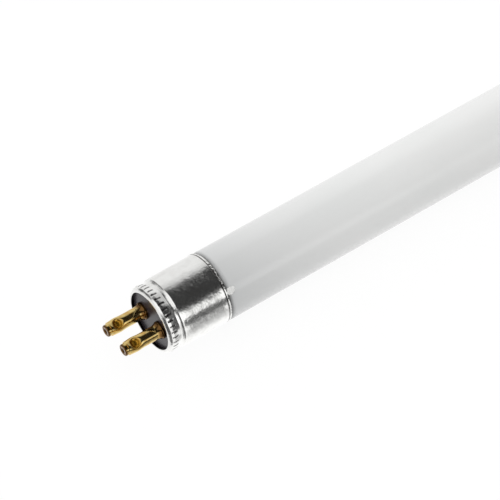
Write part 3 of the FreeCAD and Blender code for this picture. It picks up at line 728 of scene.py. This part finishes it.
class TUBELAMP_OT_caps(Operator):
    """Roll the metal caps, with lip, knurl, neck, skirt and hem"""

    bl_idname = "tubelamp.caps"
    bl_label = "Caps"

    def execute(self, context):
        cap = context.scene.lamp_cap
        outline, crown, mouth = self.outline(cap, neck_radius(context.scene))
        steps = cap.knurl_count * cap.steps_per_notch
        piece = turn_about_axis("cap_a", outline, steps, closed=True)
        self.press_knurl(piece, cap, crown)
        self.nick_hem(piece, cap)
        smooth(piece)
        metal = cap_metal_material(cap, mouth)
        far = copy_piece(piece, "cap_b", half_turn=True)
        finish_piece(piece, "cap_shell_a", metal)
        finish_piece(far, "cap_shell_b", metal)
        return {"FINISHED"}

    def outline(self, cap, neck):
        """The shell's section, and the radii of its crown and mouth."""
        skirt_bore = neck + cap.cement_gap
        skirt = skirt_bore + cap.sheet
        crown = skirt - cap.crown_step
        seat = crown - cap.crown_wall
        mouth = crown - cap.lip_width
        low_neck = crown - cap.valley_drop
        valley = RIM_X + cap.valley
        ramp_end = valley + cap.ramp_length
        skirt_start = ramp_end + cap.front_length
        hem_start = HEM_X - cap.hem_width
        low, ease = cap.skirt_ease_height, cap.skirt_ease_length
        edge = cap.hem_edge
        retainer = DISC_BACK_X + cap.retainer_gap

        points = trace(
            (DISC_FACE_X, seat), (DISC_FACE_X, mouth), (RIM_X + cap.mouth_round, mouth),
            (RIM_X, mouth + cap.mouth_round, cap.mouth_round * QUARTER_RISE, 5),
            (RIM_X, mouth + cap.lip_face),
            (RIM_X + cap.lip_depth, crown - cap.lip_drop, cap.lip_bow, 12),
            (RIM_X + cap.crest, crown, cap.crest_bow, 8),
            (valley, low_neck, cap.slope_bow, 18),
            (ramp_end, low_neck + cap.ramp_rise, -cap.ramp_bow, 8),
            (skirt_start, skirt - low, cap.front_bow, 10),
            (skirt_start + ease, skirt, low / 4, 8),
            (hem_start - ease, skirt),
            (hem_start - cap.hem_groove, skirt + low, -low / 4, 8),
            (hem_start, skirt + low, -cap.hem_groove / 2, 6),
            (HEM_X - edge, skirt + low, cap.hem_height, 10),
            (HEM_X, skirt + low - edge, edge * QUARTER_RISE, 5),
            (HEM_X, skirt_bore), (skirt_start + cap.sheet, skirt_bore),
            (ramp_end + cap.sheet, seat), (retainer + cap.retainer_width, seat),
            (retainer, seat, cap.retainer_height, 8))
        return soften(points, cap.bend_softness), crown, mouth

    def press_knurl(self, piece, cap, crown):
        """Presses the notches in, of uneven depth, each running out at its ends."""
        start, end = RIM_X + cap.knurl_start, RIM_X + cap.knurl_end
        pitch = math.tau / cap.knurl_count
        reach = cap.knurl_width / 2 / crown
        outer = crown - 0.25 * MM
        usual_depth, depth_change, change_beat = 0.78, 0.22, 2.4

        def share(place):
            if not start < place.x < end or math.hypot(place.y, place.z) < outer:
                return 0
            notch, turn = divmod(math.atan2(place.z, place.y) + pitch / 2, pitch)
            away = abs(turn - pitch / 2) / reach
            if away >= 1:
                return 0
            fade = min(1, (place.x - start) / cap.knurl_fade, (end - place.x) / cap.knurl_fade)
            uneven = usual_depth + depth_change * math.sin(change_beat * notch)
            return math.cos(away * math.pi / 2) ** 2 * fade * uneven

        press_surface(piece, -cap.knurl_depth, share)

    def nick_hem(self, piece, cap):
        """Small nicks and waves that the closing tool left along the rolled hem."""
        start = HEM_X - cap.hem_width
        skirt = max(vertex.co.z for vertex in piece.data.vertices) - cap.hem_height
        outer = skirt - 0.12 * MM
        margin, fade = 0.1 * MM, 0.15 * MM
        nick, wave, wave_share = 0.3 * MM, 1.1 * MM, 0.6

        def share(place):
            if place.x < start - margin or math.hypot(place.y, place.z) < outer:
                return 0
            depth = noise.noise(place / nick) + wave_share * noise.noise(place / wave)
            return max(0, depth) * min(1, (place.x - start + margin) / fade)

        press_surface(piece, -cap.nick_depth, share)


class TUBELAMP_OT_discs(Operator):
    """Mould the insulating discs, with a hole for each pin"""

    bl_idname = "tubelamp.discs"
    bl_label = "Insulating discs"

    def execute(self, context):
        disc, pin = context.scene.lamp_disc, context.scene.lamp_pin
        middle = (DISC_FACE_X + DISC_BACK_X) / 2
        thickness = DISC_BACK_X - DISC_FACE_X
        hole = pin.diameter / 2 + disc.hole_clearance
        piece = self.round_bar("disc_a", DISC_RADIUS, thickness, (middle, 0, 0), sides=192)
        apply_modifier(
            piece, "BEVEL", width=disc.edge_bevel, segments=3, limit_method="ANGLE")
        for side in (-1, 1):
            place = (middle, side * PIN_Y, 0)
            punch = self.round_bar("punch", hole, 2 * thickness, place, sides=96)
            apply_modifier(piece, "BOOLEAN", operation="DIFFERENCE", object=punch)
            bpy.data.objects.remove(punch)
        smooth(piece)
        resin = disc_material(disc)
        far = copy_piece(piece, "disc_b", half_turn=True)
        finish_piece(piece, "insulator_disc_a", resin)
        finish_piece(far, "insulator_disc_b", resin)
        return {"FINISHED"}

    def round_bar(self, name, radius, depth, place, sides):
        """A round bar that lies along X."""
        return add_primitive(
            name, bpy.ops.mesh.primitive_cylinder_add, vertices=sides, radius=radius,
            depth=depth, location=place, rotation=(0, math.pi / 2, 0))


class TUBELAMP_OT_pins(Operator):
    """Turn the hollow contact pins and crimp them"""

    bl_idname = "tubelamp.pins"
    bl_label = "Contact pins"

    def execute(self, context):
        pin = context.scene.lamp_pin
        outline = self.outline(pin)
        piece = turn_about_axis("pin_a1", outline, pin.steps, True, (0, PIN_Y, 0))
        self.crimp(piece, pin)
        edit(piece)
        turn_about_x(pin.dimple_tilt, (0, PIN_Y, 0))
        smooth(piece, 50)
        second = copy_piece(piece, "pin_a2", move=(0, -2 * PIN_Y, 0))
        far_first = copy_piece(second, "pin_b1", half_turn=True)
        far_second = copy_piece(piece, "pin_b2", half_turn=True)
        brass = brass_material(pin)
        for part in (piece, second, far_first, far_second):
            finish_piece(part, "contact_" + part.name, brass)
        return {"FINISHED"}

    def outline(self, pin):
        """The wall of the hollow pin: rivet, shank, collar, barrel, nose and bore."""
        barrel = pin.diameter / 2
        bore = barrel - pin.wall
        nose = barrel - pin.nose_step
        hole = pin.nose_hole / 2
        nose_start = PIN_TIP_X + pin.nose_length
        bore_start = nose_start + pin.wall
        collar_face = DISC_FACE_X - pin.collar_thickness
        flare_end = collar_face - pin.flare
        edge, chamfer, ring = pin.collar_edge, 0.05 * MM, 0.06 * MM
        edge_bow = 0.3 * edge

        def along(start, end, radius, count):
            """Rings between two ends, so that the wall can be pressed in."""
            return [(start + (end - start) * i / count, radius) for i in range(1, count)]

        return trace(
            (RIVET_X, bore), (RIVET_X, COLLAR_RADIUS), (DISC_BACK_X, COLLAR_RADIUS),
            (DISC_BACK_X, barrel), (DISC_FACE_X, barrel), (DISC_FACE_X, COLLAR_RADIUS),
            (collar_face + edge, COLLAR_RADIUS),
            (collar_face - edge, COLLAR_RADIUS - edge, -edge_bow, 5),
            (flare_end, barrel, pin.flare_hollow, 8),
            *along(flare_end, nose_start, barrel, round((flare_end - nose_start) / ring)),
            (nose_start + ring, barrel), (nose_start, nose), (PIN_TIP_X + pin.nose_round, nose),
            (PIN_TIP_X, nose - pin.nose_round, -pin.nose_round * QUARTER_RISE, 6),
            (PIN_TIP_X, hole + chamfer), (PIN_TIP_X + chamfer, hole),
            (bore_start - (bore - hole), hole), (bore_start, bore),
            *along(bore_start, RIVET_X, bore, 40))

    def crimp(self, piece, pin):
        """Swells the sides, flattens the top and presses the round dimple into it."""
        barrel = pin.diameter / 2
        crimp_end = PIN_TIP_X + pin.nose_length + pin.crimp_setback
        centre = crimp_end + pin.dimple_setback
        reach = pin.crimp_length / 2
        floor_r, rim_r = pin.dimple_floor / 2, pin.dimple_diameter / 2

        def hump(away):
            """1 in the middle, easing to 0 where away is 1."""
            return 0 if away >= 1 else (1 + math.cos(math.pi * away)) / 2

        def from_centre(place):
            return math.hypot(place.x - centre, place.y - PIN_Y)

        def side_share(place):
            return hump(abs(place.x - centre) / reach) * ((place.y - PIN_Y) / barrel) ** 2

        def top_share(place):
            return hump(abs(place.x - centre) / reach) * max(0, place.z / barrel) ** 2

        def spread_share(place):
            return 0 if place.z < 0 else hump(from_centre(place) / (pin.dimple_spread / 2))

        def dimple_share(place):
            if place.z < 0:
                return 0
            flank = min(1, max(0, (rim_r - from_centre(place)) / (rim_r - floor_r)))
            return flank * flank * (3 - 2 * flank)

        press_surface(piece, pin.crimp_swell, side_share)
        press_surface(piece, -pin.crimp_flat, top_share, "Z")
        press_surface(piece, -pin.spread_depth, spread_share, "Z")
        press_surface(piece, -pin.dimple_depth, dimple_share, "Z")


class TUBELAMP_OT_cement(Operator):
    """Set the clear drop on the glass, and dress the wires and the cement in the caps"""

    bl_idname = "tubelamp.cement"
    bl_label = "Cement and wires"

    def execute(self, context):
        look = context.scene.lamp_cement
        dress = {"lead_wire": wire_material(look), "cement_ring": paste_material(look)}
        for name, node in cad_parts.items():
            for kind, material in dress.items():
                if name.startswith(kind):
                    node.data.materials.clear()
                    node.data.materials.append(material)

        glass_r = context.scene.lamp_glass.diameter / 2
        centre_x = HEM_X - look.drop_setback + look.drop_length / 2
        drop = add_primitive(
            "drop", bpy.ops.mesh.primitive_uv_sphere_add, segments=64, ring_count=32, radius=1,
            location=(centre_x, 0, glass_r),
            scale=(look.drop_length / 2, look.drop_width / 2, look.drop_height))
        edit(drop)
        bpy.ops.mesh.bisect(
            plane_co=(centre_x, 0, glass_r - look.drop_sink), plane_no=(0, 0, 1), use_fill=True,
            clear_inner=True)
        bpy.ops.mesh.select_all(action="SELECT")
        turn_about_x(look.drop_angle - math.pi / 2, (0, 0, 0))
        deepest, usual = 0.6 * look.drop_height, 0.5
        press_surface(drop, -deepest, lambda place: max(
            0, usual + noise.noise(place / look.drop_facet)))
        smooth(drop, 60)
        finish_piece(drop, "cement_drop", drop_material(look))
        return {"FINISHED"}


class TUBELAMP_OT_stage(Operator):
    """Lay the pale floor, hang the soft light and set up the camera"""

    bl_idname = "tubelamp.stage"
    bl_label = "Stage"

    def execute(self, context):
        stage = context.scene.lamp_stage
        self.lay_floor(stage)
        self.light_tent(context.scene)
        self.place_camera(context.scene, stage)
        context.scene.view_settings.view_transform = "Standard"
        return {"FINISHED"}

    def lay_floor(self, stage):
        """Pale paper that is seen almost white and still takes a faint shadow."""
        floor = add_primitive(
            "floor", bpy.ops.mesh.primitive_plane_add, size=stage.floor_size,
            location=(0, 0, REST_Z))
        floor.visible_glossy = False
        white, white_share = 1.02, 0.92
        material, add, _ = new_material("pale_paper")
        path = add("LightPath").outputs
        mirrored = add("Math", {
            0: path["Is Glossy Ray"], 1: path["Is Transmission Ray"]}, operation="MAXIMUM")
        seen = add("Math", {0: path["Is Camera Ray"], 1: mirrored}, operation="MAXIMUM")
        share = add("Math", {0: seen, 1: white_share}, operation="MULTIPLY")
        matt = add("BsdfDiffuse", {"Color": stage.floor})
        glow = add("Emission", {"Strength": white})
        add("OutputMaterial", {"Surface": add("MixShader", {0: share, 1: matt, 2: glow})})
        floor.data.materials.append(material)

    def light_tent(self, scene):
        """A white light tent for the gloss, with gaps, and a plain level for the rest."""
        scene.world = bpy.data.worlds.new("light_tent")
        add = empty_tree(scene.world)
        way = add("TexCoord").outputs["Generated"]
        # Each patch: the way to its middle, the degrees from there to where it is full and
        # to where it ends, and its level. A later patch covers an earlier one.
        patches = [
            ((0.0, 0.0, -1.0), 50, 75, 1.2),
            ((0.30, 0.10, -0.95), 25, 55, 1.4),
            ((0.0, -0.38, 0.92), 52, 78, 0.8),
            ((0.0, -0.38, 0.92), 41, 57, 0.03),
            ((0.75, 0.15, 0.65), 16, 25, 0.75),
            ((-0.62, -0.10, 0.78), 22, 34, 1.3),
            ((-0.75, -0.62, -0.05), 25, 36, 0.12),
            ((-0.45, -0.62, -0.63), 14, 24, 0.2),
            ((-0.20, -0.94, 0.29), 15, 25, 1.7),
            ((0.05, -0.95, 0.29), 10, 25, 1.6),
            ((0.65, -0.60, -0.45), 5, 35, 0.5),
            ((0.50, -0.82, -0.28), 8, 24, 0.3),
            ((0.82, -0.56, -0.03), 26, 35, 0.12),
            ((0.30, -0.95, -0.07), 8, 13, 0.12),
            ((-0.33, 0.93, 0.14), 9, 20, 0.12),
            ((-0.54, 0.67, 0.51), 9, 20, 0.12),
            ((0.80, 0.55, -0.25), 16, 25, 0.08),
            ((0.94, 0.30, 0.0), 20, 30, 0.08),
            ((0.93, -0.10, -0.35), 22, 32, 0.08),
            ((0.12, -0.91, -0.40), 8, 14, 1.4),
            ((0.60, -0.65, -0.47), 5, 11, 1.4),
        ]
        level = 1.1
        for direction, full, end, brightness in patches:
            across = add("VectorMath", {
                0: way, 1: Vector(direction).normalized()}, operation="DOT_PRODUCT")
            share = add("MapRange", {
                "Value": across, "From Min": math.cos(math.radians(end)),
                "From Max": math.cos(math.radians(full))}, interpolation_type="SMOOTHSTEP")
            level = add("Mix", {0: share, 2: level, 3: brightness}, data_type="FLOAT")
        # The plain level, a little brighter from the top and the back
        plain_level, lift = 1.05, 0.36
        side = add("VectorMath", {0: way, 1: (0, 0.7, 0.7)}, operation="DOT_PRODUCT")
        plain = add("Math", {0: side, 1: lift, 2: plain_level}, operation="MULTIPLY_ADD")
        glossy = add("LightPath").outputs["Is Glossy Ray"]
        strength = add("Mix", {0: glossy, 2: plain, 3: level}, data_type="FLOAT")
        glow = add("Background", {"Strength": strength})
        add("OutputWorld", {"Surface": glow})

    def place_camera(self, scene, stage):
        """The camera stands off from its aim by azimuth and elevation, then rolls."""
        deselect()
        bpy.ops.object.camera_add()
        camera = bpy.context.object
        flat = math.cos(stage.elevation)
        back = Vector((
            math.sin(stage.azimuth) * flat, -math.cos(stage.azimuth) * flat,
            math.sin(stage.elevation)))
        aim = Vector((stage.aim_x, stage.aim_y, 0))
        upright = (-back).to_track_quat("-Z", "Y").to_matrix()
        turn = upright @ Matrix.Rotation(stage.roll, 3, "Z")
        camera.matrix_world = Matrix.Translation(aim + back * stage.distance) @ turn.to_4x4()
        camera.data.lens = stage.lens
        camera.data.sensor_width = stage.sensor
        camera.data.clip_start = 10 * MM
        scene.camera = camera


class TUBELAMP_PT_sidebar(Panel):
    bl_idname = "TUBELAMP_PT_sidebar"
    bl_label = "Fluorescent tube"
    bl_space_type = "VIEW_3D"
    bl_region_type = "UI"
    bl_category = "Tube Lamp"

    def draw(self, context):
        for label, name, _, operator in GROUPS:
            box = self.layout.box()
            box.label(text=label)
            settings = getattr(context.scene, name)
            for setting in settings.__annotations__:
                box.prop(settings, setting)
            box.operator(operator.bl_idname)


# Each group: its label, the name of its settings on the scene, their class and the operator
GROUPS = [
    ("Glass", "lamp_glass", GlassSettings, TUBELAMP_OT_glass),
    ("Caps", "lamp_cap", CapSettings, TUBELAMP_OT_caps),
    ("Discs", "lamp_disc", DiscSettings, TUBELAMP_OT_discs),
    ("Pins", "lamp_pin", PinSettings, TUBELAMP_OT_pins),
    ("Cement", "lamp_cement", CementSettings, TUBELAMP_OT_cement),
    ("Stage", "lamp_stage", StageSettings, TUBELAMP_OT_stage),
]


def register():
    for _, name, settings, operator in GROUPS:
        bpy.utils.register_class(settings)
        setattr(bpy.types.Scene, name, PointerProperty(type=settings))
        bpy.utils.register_class(operator)
    bpy.utils.register_class(TUBELAMP_PT_sidebar)


def unregister():
    bpy.utils.unregister_class(TUBELAMP_PT_sidebar)
    for _, name, settings, operator in reversed(GROUPS):
        bpy.utils.unregister_class(operator)
        delattr(bpy.types.Scene, name)
        bpy.utils.unregister_class(settings)


def main():
    register()
    bpy.ops.tubelamp.stage()
    bpy.ops.tubelamp.glass()
    bpy.ops.tubelamp.caps()
    bpy.ops.tubelamp.discs()
    bpy.ops.tubelamp.pins()
    bpy.ops.tubelamp.cement()


if __name__ == "__main__":
    main()
